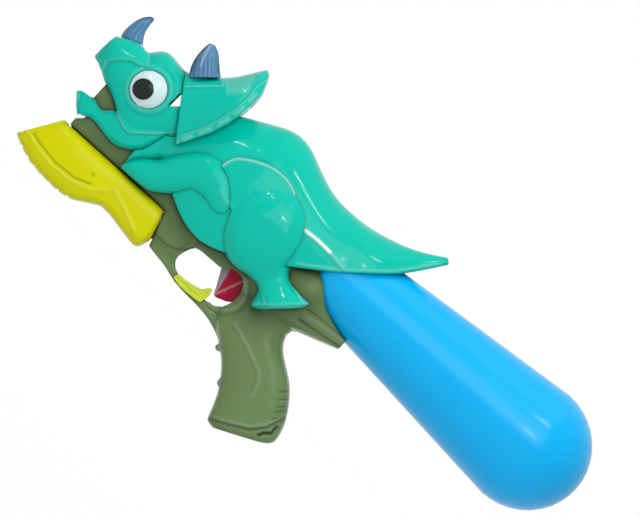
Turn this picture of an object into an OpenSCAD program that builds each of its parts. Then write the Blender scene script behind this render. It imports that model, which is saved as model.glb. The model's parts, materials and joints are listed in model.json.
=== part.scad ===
// Toy water squirter: a horned dinosaur astride a pistol with a sliding air pump.
// Millimetres. X runs from the muzzle to the bottle, Z is up, the left side faces -Y.

/* [Bottle] */
// Height of the bottle's axis above the foot of the grip
tank_axis_z = 134.2; // [132:0.1:136]
// Radius where the shoulder ends
tank_front_radius = 27.8; // [26.5:0.1:28.2]
// Radius at the widest place
tank_rear_radius = 44.6; // [40:0.1:46]
// Where the taper ends and the round end begins
tank_taper_end_x = 177; // [165:1:180]
// Length of the round end
tank_end_length = 46; // [40:0.1:48]
// Wall of the bottle
tank_wall = 1.6; // [1.2:0.1:2.2]
// Outer radius of the neck
neck_radius = 15; // [14:0.1:15.5]
// Length of the neck
neck_length = 16; // [13:0.5:16]

/* [Pump] */
// Height of the pump's axis
pump_axis_z = 77; // [76:0.1:77.4]
// Outer radius of the cylinder
cylinder_radius = 9.5; // [8.5:0.1:9.8]
// Wall of the cylinder
cylinder_wall = 1.5; // [1.2:0.1:2]
// Front end of the cylinder
cylinder_front_x = -196; // [-198:0.5:-190]
// Rear end of the cylinder
cylinder_rear_x = -89; // [-92:0.5:-88]
// Radius of the piston rod
rod_radius = 3; // [2.5:0.1:3.5]
// Half width of the fore-end
pump_half = 20.5; // [19:0.1:23]

/* [Dinosaur] */
// Half width of the back at the hips
torso_half = 33; // [32.5:0.1:36]
// Half width of the head
head_half = 25; // [24:0.1:27]
// Half width of the frill
frill_half = 37; // [35.5:0.1:42]
// How far a thigh stands out from the middle
thigh_reach = 40; // [38.5:0.1:44]
// Radius of an eye
eye_radius = 12.7; // [11:0.1:13.5]
// Radius of a pupil
pupil_radius = 7.3; // [5:0.1:8]
// Wall of the dinosaur's shells
skin_wall = 2.2; // [1.8:0.1:2.6]

/* [Gun body] */
// Half width of the grip
grip_half = 17; // [16:0.1:19]
// Half width of the trigger guard
guard_half = 6.5; // [5.5:0.1:8]
// Half width of the barrel
barrel_half = 14.5; // [13.5:0.1:15]
// Half width of the receiver at the bottle
receiver_half = 24; // [23.5:0.1:24.5]
// Wall of the gun's halves
gun_wall = 2.4; // [2:0.1:2.8]
// Radius of a screw post
post_radius = 4; // [3.5:0.1:4.5]

/* [Trigger and valve] */
// Half width of the trigger
trigger_half = 5.8; // [5:0.1:6.4]
// Radius of the trigger's pin
pin_radius = 2; // [1.6:0.1:2.4]
// Radius of the valve body
valve_radius = 8.5; // [8:0.1:8.8]
// Radius of the valve's stem
stem_radius = 1.8; // [1.5:0.1:2.2]

/* [Nozzle and tubes] */
// Height of the nozzle's axis
nozzle_z = 119; // [117.5:0.1:120]
// Radius of the nozzle's bore
nozzle_bore = 1.25; // [0.8:0.05:1.6]
// Radius of the nozzle's collar
nozzle_radius = 6; // [5:0.1:7]
// Outer radius of the water tube
tube_radius = 3; // [2.6:0.1:3.4]
// Outer radius of the air hose
hose_radius = 2.5; // [2.2:0.1:2.8]
// Wall of the tubes
tube_wall = 1.1; // [0.8:0.1:1.2]

/* [Screws and fits] */
// Radius of a screw's shank
screw_radius = 1.3; // [1:0.1:1.5]
// Radius of a screw's head
screw_head = 2.8; // [2.4:0.1:3]
// Gap between pieces that sit on each other
seat_gap = 0.15; // [0.1:0.05:0.2]
// Gap round a piece that runs in another
running_gap = 0.05; // [0.03:0.01:0.08]
// Gap round a piece that passes freely
free_gap = 0.5; // [0.4:0.1:0.7]

/* [Hidden] */
$fn = 40;
// The dinosaur stands at this angle to the barrel, turned about its hip
lean = 42;
hip = [-53, 0, 124.7];

// Bottle stations
neck_end_x = -8;
tank_front_x = 4;
neck_front_x = neck_end_x - neck_length;
tank_tip_x = tank_taper_end_x + tank_end_length;
seal_thickness = 1.8;
socket_wall_x = neck_front_x - seal_thickness - 0.2;
socket_floor = 3;
socket_radius = neck_radius + 4.5;
lug_height = 1.2;
lug_width = 3;

// Muzzle face of the barrel, and the fore-end's inner web
muzzle_x = -198.5;
web_x = -207;
web_width = 7;
// Rail under the barrel that closes the fore-end's open top, and the sleeve round the cylinder's rear
rail_half = 7;
rail_outline = [[-196, 87], [-112, 87], [-112, 92], [-196, 92]];
sleeve_x = -104.6;
flange_x = web_x + 2;
flange_width = 3;
piston_x = -95;
piston_length = 9;
gland_end_x = cylinder_front_x + 6;
cylinder_bore = cylinder_radius - cylinder_wall;

// Air outlet at the rear of the cylinder, with the check valve on it
outlet_x = -94;
outlet_height = 13;
outlet_radius = 3.2;
outlet_bore = 1.6;
check_radius = 4.4;
check_height = 6;

// Trigger and valve
pin = [-55, 0, 99];
pin_length = 24;
stem_x = -38;
lever_z = 104;
valve_floor_z = 109.2;
valve_top_z = 130;
valve_wall = 2.5;
poppet_z = 113;
poppet_height = 3;
poppet_radius = 4.6;
cap_thickness = 3;
cap_plug = 3;
spring_wire = 0.5;
spring_turns = 5;
water_port_z = tank_axis_z - 8.5;
air_port = [9, 127];

// Face: the eyes are cut from a ball, and the pupils are thin shells on it
eye_at = [-78.7, 93.8];
pupil_at = [-82.3, 94];
eye_dome = 20;
eye_top_y = head_half + 4.6;
pupil_thickness = 0.6;
brow_y = 17;
// Open corner between the eye's housing, the cheek and the frill
cheek_gap = [[-66, 82.5], [-56.6, 82.5], [-56.6, 92]];

// Raised plate at the top of a leg, over the hip
hip_height = 1.7;

// Small nubs on the front edge of the grip
grip_nubs = [[-22, 43.4], [-5.2, 26.6]];
nub_radius = 2.6;
nub_half = 6;

// Grooves across the underside of the fore-end
groove_radius = 1.1;
groove_rail = [[-215, 56], [-201, 51], [-190, 49.2], [-179, 48.8], [-163, 51]];
function groove_x(i) = -213 + 7.6 * i;
function groove_z(i) = lookup(groove_x(i), groove_rail);

// Ribs of the lofted pieces, each one:
// upper x, upper z, lower x, lower z, width as a share, turn of the section, inner face
torso_ribs = [
    [-78, 66, -96.5, 42.5, 0.56, 128, 0],
    [-52, 82, -71, 47, 0.6, 128, 0],
    [-34, 80.5, -65, 30, 0.74, 128, 0],
    [-14, 75.5, -57, 8, 0.88, 128, 0],
    [5, 70.5, -45, -8, 0.96, 128, 0],
    [20.8, 65.2, -29, -16, 1, 126, 0],
    [31.3, 54.6, -8, -23, 1, 118, 0],
    [38.7, 38.2, 16, -26, 1, 105, 0],
    [48, 21.3, 38, -29, 0.99, 94, 0],
    [59, 10.3, 56, -30.5, 0.94, 90, 0],
    [71, 0.6, 71, -31, 0.92, 90, 0],
    [88, -9, 88, -31.5, 0.7, 90, 0],
    [106, -16.2, 106, -29, 0.36, 100, 0],
    [124.5, -20, 125, -25, 0.16, 130, 0]
];
skull_ribs = [
    [-115.4, 117, -113, 112, 0.22, 160, 0],
    [-111.5, 121.5, -111.5, 107.5, 0.48, 155, 0],
    [-106.5, 126.3, -109.3, 100, 0.66, 145, 0],
    [-101, 130, -105, 93, 0.78, 135, 0],
    [-92, 128, -101.5, 84.5, 0.86, 130, 0],
    [-84, 125, -98, 72, 0.93, 130, 0],
    [-79.5, 119.4, -90, 64.5, 0.98, 130, 0],
    [-71.5, 120.6, -79, 64.3, 1, 130, 0],
    [-64, 118.6, -70, 64, 1, 130, 0],
    [-57, 110, -62, 62, 0.98, 130, 0],
    [-48, 101, -54, 62, 0.9, 130, 0]
];
jaw_ribs = [
    [-127.8, 93.4, -128.2, 84, 0.55, 160, 0],
    [-124, 93.6, -127.4, 76.6, 0.66, 160, 0],
    [-118.6, 89.4, -123, 75.4, 0.7, 160, 0],
    [-115.2, 88, -119, 74.6, 0.72, 160, 0],
    [-112.6, 83, -115.5, 72, 0.74, 160, 0],
    [-110, 80.2, -111, 66.6, 0.77, 160, 0],
    [-103, 80.4, -105.5, 59.2, 0.83, 160, 0],
    [-95, 76, -99.5, 55.2, 0.88, 160, 0],
    [-88, 70, -92, 53.1, 0.91, 160, 0],
    [-81, 68, -84, 53.2, 0.91, 160, 0],
    [-74, 67.5, -76, 57.2, 0.89, 160, 0],
    [-67, 66, -68.5, 62.3, 0.85, 160, 0]
];
frill_ribs = [
    [-54.5, 106.8, -60.5, 56.5, 0.79, 95, 0],
    [-47, 105, -51, 60, 0.84, 95, 0],
    [-38, 103, -39.5, 63.5, 0.92, 95, 0],
    [-28, 102.3, -28, 69, 0.98, 95, 0],
    [-18, 103.3, -17.5, 76, 1, 95, 0],
    [-9, 105.3, -8.3, 84, 0.92, 95, 0],
    [-2.5, 107, -1.8, 91.5, 0.74, 95, 0],
    [1.8, 107.6, 3.2, 103.5, 0.4, 95, 0]
];
arm_ribs = [
    [-97.6, 42.8, -97.4, 40.6, 0.15, 165, 15],
    [-91, 46, -89, 33, 0.6, 165, 15],
    [-82, 47.3, -79.5, 25.5, 0.82, 165, 15],
    [-72, 46.5, -71, 24, 0.95, 165, 15],
    [-61, 50.5, -61, 23, 1.15, 165, 15],
    [-47, 53.5, -50, 23, 1.38, 165, 15],
    [-34, 52, -42, 16, 1.54, 165, 15],
    [-25, 45, -37, 7, 1.6, 165, 15],
    [-20, 34, -30, 2.5, 1.55, 165, 15],
    [-17, 22, -22, 6, 1.3, 165, 15]
];
leg_ribs = [
    [14, 28, -12, 27, 0.62, 170, 16],
    [25, 20.5, -23.5, 18, 0.88, 170, 16],
    [30.5, 7, -29.5, 3, 1, 170, 16],
    [29.5, -8, -29, -13, 0.98, 170, 16],
    [23.5, -19, -22, -25, 0.86, 170, 16],
    [18, -27, -12.5, -31.5, 0.72, 170, 16],
    [17.5, -34, -5.5, -38.5, 0.66, 170, 16],
    [22, -41, -5.5, -44.5, 0.78, 170, 16],
    [29, -48, -9, -50, 0.92, 170, 16],
    [32, -51.3, -9.5, -52.8, 0.92, 170, 16],
    [28, -54.2, -6, -55, 0.84, 170, 16]
];
nose_horn_ribs = [
    [-99, 126, -83.5, 121, 7, 175, 0],
    [-97.3, 132, -82.6, 127.5, 6.2, 175, 0],
    [-92.5, 137.5, -81.6, 132.5, 5, 175, 0],
    [-86.5, 141.8, -79, 137, 3.4, 175, 0],
    [-81, 143.6, -76, 140.6, 2, 175, 0],
    [-77.2, 143.8, -75.2, 142.2, 0.8, 175, 0]
];
brow_horn_ribs = [
    [-52, 101, -29.5, 100, 8, 175, 0],
    [-50, 110, -31, 108, 7.2, 175, 0],
    [-46, 117, -31.4, 114.5, 6, 175, 0],
    [-41, 122.6, -32, 120, 4.2, 175, 0],
    [-37.5, 125.2, -33.8, 124, 1.6, 175, 0]
];
barrel_ribs = [
    [muzzle_x, 127, muzzle_x, 88.2, 1, 172, 0],
    [-160, 128, -160, 88.2, 1, 172, 0],
    [-113, 128, -113, 88.2, 1, 172, 0]
];
receiver_ribs = [
    [-116, 127, -116, 88.6, 0.62, 172, 0],
    [-98, 130, -98, 84, 0.76, 172, 0],
    [-62, 137, -62, 82, 0.8, 172, 0],
    [-42, 148, -42, 81, 0.92, 172, 0],
    [-26, 158, -26, 81, 1, 172, 0],
    [-6, 158, -6, 83, 1, 172, 0]
];
lobe_ribs = [
    [-112.2, 93, -105.4, 70.6, 13.5, 172, 0],
    [-102, 93, -100, 70.3, 15, 172, 0],
    [-94, 93, -94, 70.3, 15.5, 172, 0],
    [-86, 93, -86, 74, 15, 172, 0],
    [-79.5, 93, -79.5, 87, 12, 172, 0]
];
grip_ribs = [
    [-2, 108, -37, 95, 0.95, 172, 0],
    [9, 96, -40, 72, 0.98, 172, 0],
    [6.8, 80.5, -38, 59, 1.02, 172, 0],
    [13, 69.8, -32, 51, 1.03, 172, 0],
    [29, 58.8, -22, 44.5, 1, 172, 0],
    [39.3, 47, -10.6, 33, 0.98, 172, 0],
    [46.6, 34.5, -1.8, 19.5, 0.98, 172, 0],
    [49.2, 24, 3.6, 4.5, 1, 172, 0],
    [48.8, 19.6, 5.5, 1.2, 0.98, 172, 0],
    [45.5, 16, 11, 0, 0.86, 172, 0]
];
spur_ribs = [
    [-22, 124, -22, 81.5, 25, 172, 0],
    [-8, 132, -8, 82.5, 29.5, 172, 0],
    [2, 131, 2, 84, 30, 172, 0],
    [13, 117, 13, 87.6, 24.5, 172, 0],
    [26, 110, 26, 92, 19, 172, 0],
    [39.3, 106, 39.3, 96.7, 13.5, 172, 0]
];
pump_ribs = [
    [-203.2, 88.3, -221.7, 59.6, 0.66, 170, 0],
    [-197, 88.3, -215, 56, 0.84, 170, 0],
    [-188, 88.3, -201, 51, 0.95, 170, 0],
    [-176, 88.3, -179, 49, 1, 170, 0],
    [-161, 88.3, -163, 51.2, 0.98, 170, 0],
    [-146, 88.3, -146, 61, 0.93, 170, 0],
    [-130, 88.3, -129, 59, 0.93, 170, 0],
    [-116, 88.3, -112, 56, 0.92, 170, 0],
    [-112, 87.5, -107.4, 60, 0.86, 170, 0],
    [-109.5, 82, -105.6, 66, 0.7, 170, 0]
];

// Side outlines of the flat pieces
guard_outline = [
    [-104.5, 90], [-104, 74], [-104, 63], [-98, 61.6], [-86, 60.2], [-78.5, 57.2],
    [-71, 55.8], [-60, 55], [-47, 54.4], [-37, 52.2], [-24, 46.5], [-16, 60], [-16, 90]
];
inset_guard = [
    [-103.3, 90], [-102.8, 74], [-102.8, 64.1], [-97.8, 62.8], [-85.8, 61.4], [-78.2, 58.4],
    [-71, 57], [-60, 56.2], [-47, 55.6], [-36.8, 53.4], [-24, 47.7], [-17, 60], [-17, 90]
];
finger_knots = [
    [-84, 71], [-81, 80.5], [-75, 84.2], [-58, 84.5], [-51.5, 89], [-44, 90], [-38.9, 87.2], [-35.7, 80],
    [-36.2, 71.5], [-39.8, 64.6], [-46, 61.3], [-60, 61.2], [-76, 62], [-82, 65.5]
];
trigger_knots = [
    [-61.5, 99], [-60.5, 92], [-57.5, 86], [-54, 79], [-51, 73], [-49.4, 69.4], [-47.4, 67.2], [-43, 68.6],
    [-38, 70.6], [-32.5, 76.5], [-30.5, 86], [-31, 97], [-32, 103], [-36, lever_z], [-50, lever_z],
    [-58.5, 104]
];
slot_outline = [
    [-66, 88], [-66, 108], [-27, 110], [-21, 92], [-24, 74], [-33, 62], [-50, 62], [-60, 84]
];
cheek_outline = [[-90, 58], [-90, 92], [-30, 94], [-26, 80], [-28, 66], [-40, 56]];
trim_outline = [
    [-77, 58.4], [-72, 56.6], [-61, 56.4], [-52, 57.6], [-50.8, 62], [-50.4, 66], [-52, 69.8],
    [-54.6, 68.4], [-57, 65], [-64, 62.8], [-76, 62]
];

muzzle_notch = [[-200, 93], [-194, 98], [-194, 103], [-200, 106]];
neck_outline = [[-96, 38], [-58, 56], [-58, 72], [-96, 72]];
hip_knots = [
    [-34, 36.5], [-28, 43], [-20, 47.3], [-7, 46.4], [6, 42], [15.5, 32], [21, 20], [10, 4], [-16, 4],
    [-25, 18]
];

// Screw stations: gun body, fore-end, and the dinosaur in its own frame
gun_screws = [[-184, 99], [-128, 99], [6, 66], [28, 27]];
pump_screws_at = [[-204, 61.5], [-178, 57], [-115, 61.5]];
dino_screws_at = [[-6, 58], [63, -3], [-86, 112], [-66, 104]];
// Posts round the dinosaur's screws, in its body and in its slimmer head
body_post_radius = post_radius + 0.8;
body_post_length = 26;
head_post_radius = post_radius - 0.6;
head_post_length = 24;
screw_seat_y = 7;
screw_tip_y = -7;
head_height = 2;

// Smooth curve through the knots, with a number of points to each span
function curve(k, steps) = [
    for (i = [0 : len(k) - 2], j = [0 : steps - 1])
        let (a = k[max(i - 1, 0)], d = k[min(i + 2, len(k) - 1)])
        between(a, k[i], k[i + 1], d, j / steps),
    k[len(k) - 1]
];
function between(a, b, c, d, t) =
    (2 * b + (c - a) * t + (2 * a - 5 * b + 4 * c - d) * t * t + (3 * b - a - 3 * c + d) * t * t * t) / 2;

// The same, closed on itself
function loop(k, steps) = [
    for (i = [0 : len(k) - 1], j = [0 : steps - 1])
        let (n = len(k))
        between(k[(i + n - 1) % n], k[i], k[(i + 1) % n], k[(i + 2) % n], j / steps)
];

// Share of a section's height that is passed at an angle, for a squareness n
function passed(a, n) = 1 - sign(cos(a)) * pow(abs(cos(a)), 2 / n);

// A rib with its width in millimetres, made larger or smaller all round
function sized(r, half, grow) =
    let (run = [r[2] - r[0], r[3] - r[1]], out = run * grow / norm(run))
    [r[0] - out[0], r[1] - out[1], r[2] + out[0], r[3] + out[1], r[4] * half + grow, r[5], r[6]];

// Points round one rib, from its top over the side to its foot, closed on the plane y = back
function ring(r, n, arcs, back) = [
    [r[0], back, r[1]],
    for (k = [1 : arcs])
        let (a = r[5] * k / arcs, t = passed(a, n) / passed(r[5], n))
        [r[0] + (r[2] - r[0]) * t, r[6] + r[4] * pow(abs(sin(a)), 2 / n), r[1] + (r[3] - r[1]) * t],
    [r[2], back, r[3]]
];

// Solid through a row of rings
module loft(rings) {
    m = len(rings[0]);
    n = len(rings);
    sides = [
        for (i = [0 : n - 2], j = [0 : m - 1])
            let (a = i * m + j, b = i * m + (j + 1) % m)
            each [[a, b, b + m], [a, b + m, a + m]]
    ];
    front = [for (j = [m - 1 : -1 : 0]) j];
    rear = [for (j = [0 : m - 1]) (n - 1) * m + j];
    polyhedron([for (r = rings, p = r) p], concat(sides, [front, rear]), convexity = 8);
}

// Right half of a lofted piece
module ribbed(knots, half, n = 2.4, steps = 3, arcs = 12, grow = 0, inner = 0) {
    loft([
        for (r = curve(knots, steps))
            let (s = sized(r, half, grow))
            ring(s, n, arcs, s[6] - inner)
    ]);
}

// Some of the ribs of a row
function some(k, first, last) = [for (i = [first : last]) k[i]];

// Sides of a round hole in a faceted piece
facets = 12;

// Closes the children into one skin of flat facets
module skin() {
    $fn = facets;
    resize([0, 0, 0])
        children();
}

// Radius of a faceted hole that clears a round piece
function hole(r) = r / cos(180 / facets);

module mirrored(side) {
    if (side < 0)
        mirror([0, 1, 0])
            children();
    else
        children();
}

// Slab with a side outline, between two distances from the middle
module slab(points, y0, y1) {
    translate([0, y1, 0])
        rotate([90, 0, 0])
            linear_extrude(y1 - y0)
                polygon(points);
}

module along_x(x0, x1, z, r) {
    translate([x0, 0, z])
        rotate([0, 90, 0])
            cylinder(h = x1 - x0, r = r);
}

// The half of a rod along X that lies on the +Y side
module half_along_x(x0, x1, z, r) {
    intersection() {
        along_x(x0, x1, z, r);
        translate([x0, 0, z - r])
            cube([x1 - x0, r, 2 * r]);
    }
}

module along_y(at, y0, y1, r) {
    translate([at[0], y0, at[1]])
        rotate([-90, 0, 0])
            cylinder(h = y1 - y0, r = r);
}

// Room for a screw: blind in the left half, open to the outside in the right half
module screw_room(at, side) {
    if (side > 0) {
        along_y(at, -1, screw_seat_y + 1, hole(screw_radius + seat_gap));
        along_y(at, screw_seat_y, 50, hole(screw_head + 0.3));
    } else {
        along_y(at, -1, 0.5 - screw_tip_y, hole(screw_radius + seat_gap));
    }
}

module dino_frame() {
    translate(hip)
        rotate([0, -lean, 0])
            children();
}

// Bottle profile as radius and station, from the neck to the tip, less a wall
function bottle_profile(less) = [
    [neck_radius - less, neck_front_x],
    [neck_radius - less, neck_end_x + less],
    for (a = [20 : 20 : 80])
        [neck_radius + (tank_front_radius - neck_radius) * sin(a) - less,
         neck_end_x + less + (tank_front_x - neck_end_x) * (1 - cos(a))],
    [tank_front_radius - less, tank_front_x + less],
    for (a = [0 : 9 : 81])
        [(tank_rear_radius - less) * cos(a), tank_taper_end_x + (tank_end_length - less) * sin(a)],
    [0, tank_tip_x - less]
];

module bottle_axis() {
    translate([0, 0, tank_axis_z])
        rotate([0, 90, 0])
            children();
}

// Room that the bottle needs
module bottle_room(gap) {
    bottle_axis()
        rotate_extrude($fn = 36)
            polygon(concat(
                [[0, neck_front_x], [neck_radius + gap, neck_front_x]],
                [[neck_radius + gap, neck_end_x - gap]],
                [for (a = [0 : 30 : 90])
                    [neck_radius + gap + (tank_front_radius - neck_radius) * sin(a),
                     neck_end_x - gap + (tank_front_x - neck_end_x) * (1 - cos(a))]],
                [[tank_rear_radius + gap, tank_taper_end_x], [0, tank_taper_end_x]]
            ));
}

// Solid forms of the right half, used for the pieces and for the room that they need
module gun_form(grow = 0) {
    ribbed(barrel_ribs, barrel_half, 6, 1, 8, grow);
    ribbed(receiver_ribs, receiver_half, 6, 1, 8, grow);
    ribbed(lobe_ribs, 1, 4, 2, 8, grow);
    ribbed(grip_ribs, grip_half, 3.2, 2, 10, grow);
    ribbed(spur_ribs, 1, 3.2, 2, 8, grow);
    half_along_x(sleeve_x, -84, pump_axis_z, cylinder_radius + gun_wall + grow);
    slab(rail_outline, 0, rail_half + grow);
    slab(guard_outline, 0, guard_half - 1.2 + grow);
    slab(inset_guard, 0, guard_half + grow);
    for (p = grip_nubs)
        along_y(p, 0, nub_half + grow, nub_radius + grow);
}

module head_form(grow = 0) {
    ribbed(skull_ribs, head_half, 2.5, 2, 12, grow);
    ribbed(jaw_ribs, head_half, 5, 2, 8, grow);
}

module torso_form(grow = 0) {
    ribbed(torso_ribs, torso_half, 2.2, 2, 12, grow);
}

module frill_form(grow = 0) {
    ribbed(frill_ribs, frill_half, 2.8, 2, 12, grow);
}

module arm_form(grow = 0) {
    ribbed(arm_ribs, 12, 2.6, 2, 8, grow);
}

module leg_form(grow = 0) {
    ribbed(leg_ribs, thigh_reach - 16, 3, 2, 10, grow);
}

// Gun body
module finger_hole(y0, y1) {
    slab(loop(finger_knots, 2), y0, y1);
}

module gun_cavity() {
    ribbed([[muzzle_x + 7, 127, muzzle_x + 7, 88.2, 1, 172, 0], barrel_ribs[1], barrel_ribs[2]],
        barrel_half, 6, 1, 6, -gun_wall, 1);
    ribbed(some(receiver_ribs, 0, 3), receiver_half, 6, 1, 6, -gun_wall, 1);
    ribbed(some(grip_ribs, 1, 6), grip_half, 3.2, 1, 7, -gun_wall, 1);
}

// Webs and posts that carry the inner pieces
module gun_webs() {
    for (x = [-166, -124])
        slab([[x, 86], [x + 4, 86], [x + 4, 130], [x, 130]], 0, 20);
    slab([[-52, 111], [-27, 111], [-27, 121], [-52, 121]], 0, 24);
    along_y([pin[0], pin[2]], trigger_half + free_gap, 20, pin_radius + 2.5);
    difference() {
        slab(cheek_outline, trigger_half + free_gap, 24);
        finger_hole(-1, 30);
    }
    for (p = gun_screws)
        along_y(p, 0, 20, post_radius);
}

module gun_seats(side) {
    along_x(-113, cylinder_rear_x + seat_gap, pump_axis_z, hole(cylinder_radius + seat_gap));
    translate([outlet_x, 0, pump_axis_z])
        cylinder(h = 24, r = hole(check_radius + seat_gap));
    along_x(muzzle_x - 1, muzzle_x + 6, nozzle_z, hole(nozzle_radius + seat_gap));
    along_x(muzzle_x + 5, -40, nozzle_z, hole(tube_radius + seat_gap));
    translate([stem_x, 0, 100])
        cylinder(h = 38, r = hole(valve_radius + seat_gap));
    along_x(stem_x, socket_wall_x, water_port_z, hole(tube_radius + seat_gap));
    along_x(socket_wall_x - socket_floor - seat_gap, 0, tank_axis_z, hole(socket_radius + seat_gap));
    bottle_room(1);
    along_y([pin[0], pin[2]], -1, pin_length / 2 + seat_gap, hole(pin_radius + seat_gap));
    slab(slot_outline, -1, trigger_half + free_gap);
    air_path(hose_radius + free_gap, 1);
    slab(muzzle_notch, -1, 20);
    for (p = gun_screws)
        screw_room(p, side);
}

module gun_half(side) {
    skin()
        mirrored(side)
            difference() {
                union() {
                    difference() {
                        gun_form();
                        gun_cavity();
                    }
                    intersection() {
                        gun_form();
                        gun_webs();
                    }
                }
                finger_hole(-1, 40);
                gun_seats(side);
                trim_room();
            }
}

// Room for the clip on the guard
module trim_room() {
    slab(trim_outline, guard_half - 2.2, guard_half + 3);
    slab(trim_outline, -1, 2.2);
}

module gun_shell_left() {
    color("#65844e")
        gun_half(-1);
}

module gun_shell_right() {
    color("#65844e")
        gun_half(1);
}

module guard_clip() {
    inner = guard_half - 2.2 + seat_gap;
    outer = guard_half + 0.6;
    color("#c8d43c")
        union() {
            slab(trim_outline, inner, outer);
            slab(trim_outline, -outer, -inner);
            slab(trim_outline, seat_gap - 2.2, 2.2 - seat_gap);
            slab([[-60, 61.4], [-56, 61.4], [-53, 66], [-54, 68], [-57, 65]], -inner - 0.2, inner + 0.2);
        }
}

// Air path from the pump's outlet to the bottle socket, run on at both ends by a length
function air_knots(past) = [
    [outlet_x, 0, pump_axis_z + outlet_height + check_height + 2 * running_gap - past],
    [outlet_x, 0, 103], [-91, 6, 110], [-78, 12, 113], [-58, 14, 114], [-42, 14, 117], [-33, 10.5, 124.5],
    [socket_wall_x - socket_floor + past, air_port[0], air_port[1]]
];

function turn_to(d) = let (s = [0, 1, 0] - d * d[1], u = s / norm(s)) [u, cross(d, u)];

module sweep(path, r, sides = 8) {
    n = len(path);
    loft([
        for (i = [0 : n - 1])
            let (d = path[min(i + 1, n - 1)] - path[max(i - 1, 0)], f = turn_to(d / norm(d)))
            [for (k = [0 : sides - 1])
                let (a = 360 * k / sides)
                path[i] + r * (f[0] * cos(a) - f[1] * sin(a))]
    ]);
}

module air_path(r, past = 0) {
    sweep(curve(air_knots(past), 2), r, 7);
}

module air_hose() {
    color("#d9d9d2")
        skin()
            difference() {
                air_path(hose_radius, 1);
                air_path(hose_radius - tube_wall, 1.5);
                air_ends();
            }
}

// The hose is cut square where it meets the check valve and the bottle's socket
module air_ends() {
    translate([outlet_x, 0, pump_axis_z])
        cylinder(h = outlet_height + check_height + 2 * running_gap, r = check_radius + 1);
    along_x(socket_wall_x - socket_floor - running_gap, neck_front_x, tank_axis_z, socket_radius);
}

// Dinosaur
module torso_half_shell(side) {
    skin()
        mirrored(side)
            difference() {
                dino_frame()
                    difference() {
                        union() {
                            difference() {
                                torso_form();
                                ribbed(some(torso_ribs, 1, 11), torso_half, 2.2, 1, 7, -skin_wall, 1);
                                torso_opening();
                            }
                            intersection() {
                                torso_form();
                                dino_posts(0, 1, body_post_length, body_post_radius);
                            }
                        }
                        head_form(seat_gap);
                        slab(neck_outline, -1, 12);
                        dino_screw_holes(side, 0, 1);
                    }
                gun_form(seat_gap);
                bottle_room(0.8);
            }
}

// The belly is open between the lower rails of the inner face
module torso_opening() {
    low = some(torso_ribs, 1, 11);
    outer = [for (r = low) [r[2], r[3] - 4]];
    inner = [for (i = [len(low) - 1 : -1 : 0]) [low[i][2], low[i][3] + 4]];
    slab(concat(outer, inner), -1, 14);
}

module dino_posts(first, last, length, radius) {
    for (i = [first : last])
        along_y(dino_screws_at[i], 0, length, radius);
}

module dino_screw_holes(side, first, last) {
    for (i = [first : last])
        screw_room(dino_screws_at[i], side);
}

module dino_body_left() {
    color("#00bea5")
        torso_half_shell(-1);
}

module dino_body_right() {
    color("#00bea5")
        torso_half_shell(1);
}

module head_half_shell(side) {
    skin()
        mirrored(side)
            difference() {
                dino_frame()
                    difference() {
                        union() {
                            difference() {
                                head_form();
                                ribbed(some(skull_ribs, 2, 10), head_half, 2.5, 1, 7, -skin_wall, 1);
                            }
                            intersection() {
                                head_form();
                                dino_posts(2, 3, head_post_length, head_post_radius);
                            }
                        }
                        along_y(eye_at, 12, 40, hole(eye_radius + seat_gap));
                        slab(cheek_gap, -1, 40);
                        dino_screw_holes(side, 2, 3);
                    }
                barrel_room();
            }
}

// Room for the barrel in the head, out through the open mouth
module barrel_room() {
    ribbed([[muzzle_x - 0.6, 128, muzzle_x - 0.6, 80, 1, 172, 0], [-100, 128, -100, 80, 1, 172, 0]],
        barrel_half, 6, 1, 8, 2 * seat_gap, 1);
}

module dino_head_left() {
    color("#00bea5")
        head_half_shell(-1);
}

module dino_head_right() {
    color("#00bea5")
        head_half_shell(1);
}

module frill_half_shell(side) {
    skin()
        mirrored(side)
            dino_frame()
                difference() {
                    frill_form();
                    ribbed(some(frill_ribs, 2, 6), frill_half, 2.8, 1, 7, -skin_wall - 1, 1);
                    head_form(seat_gap);
                    torso_form(seat_gap);
                }
}

module dino_frill_left() {
    color("#00bea5")
        frill_half_shell(-1);
}

module dino_frill_right() {
    color("#00bea5")
        frill_half_shell(1);
}

module arm_piece(side) {
    skin()
        mirrored(side)
            difference() {
                dino_frame()
                    difference() {
                        arm_form();
                        torso_form(seat_gap);
                        head_form(seat_gap);
                        frill_form(seat_gap);
                    }
                gun_form(seat_gap);
            }
}

module dino_arm_left() {
    color("#00bea5")
        arm_piece(-1);
}

module dino_arm_right() {
    color("#00bea5")
        arm_piece(1);
}

module leg_piece(side) {
    skin()
        mirrored(side)
            difference() {
                dino_frame()
                    difference() {
                        union() {
                            leg_form();
                            intersection() {
                                torso_form(hip_height);
                                slab(curve(hip_knots, 2), 8, 60);
                            }
                        }
                        torso_form(seat_gap);
                        arm_form(seat_gap);
                    }
                gun_form(seat_gap);
            }
}

module dino_leg_left() {
    color("#00bea5")
        leg_piece(-1);
}

module dino_leg_right() {
    color("#00bea5")
        leg_piece(1);
}

// Horns are round, so both halves are lofted
module horn(knots) {
    ribbed(knots, 1, 2, 2, 6);
    mirror([0, 1, 0])
        ribbed(knots, 1, 2, 2, 6);
}

module nose_horn() {
    color("#4b739b")
        skin()
            dino_frame()
                difference() {
                    horn(nose_horn_ribs);
                    head_form(seat_gap);
                    mirror([0, 1, 0])
                        head_form(seat_gap);
                }
}

module brow_horn(side) {
    skin()
        mirrored(side)
            dino_frame()
                difference() {
                    translate([0, brow_y, 0])
                        horn(brow_horn_ribs);
                    frill_form(seat_gap);
                    head_form(seat_gap);
                    translate([-60, 0, 80])
                        cube([60, 60, 22]);
                }
}

module brow_horn_left() {
    color("#4b739b")
        brow_horn(-1);
}

module brow_horn_right() {
    color("#4b739b")
        brow_horn(1);
}

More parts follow.
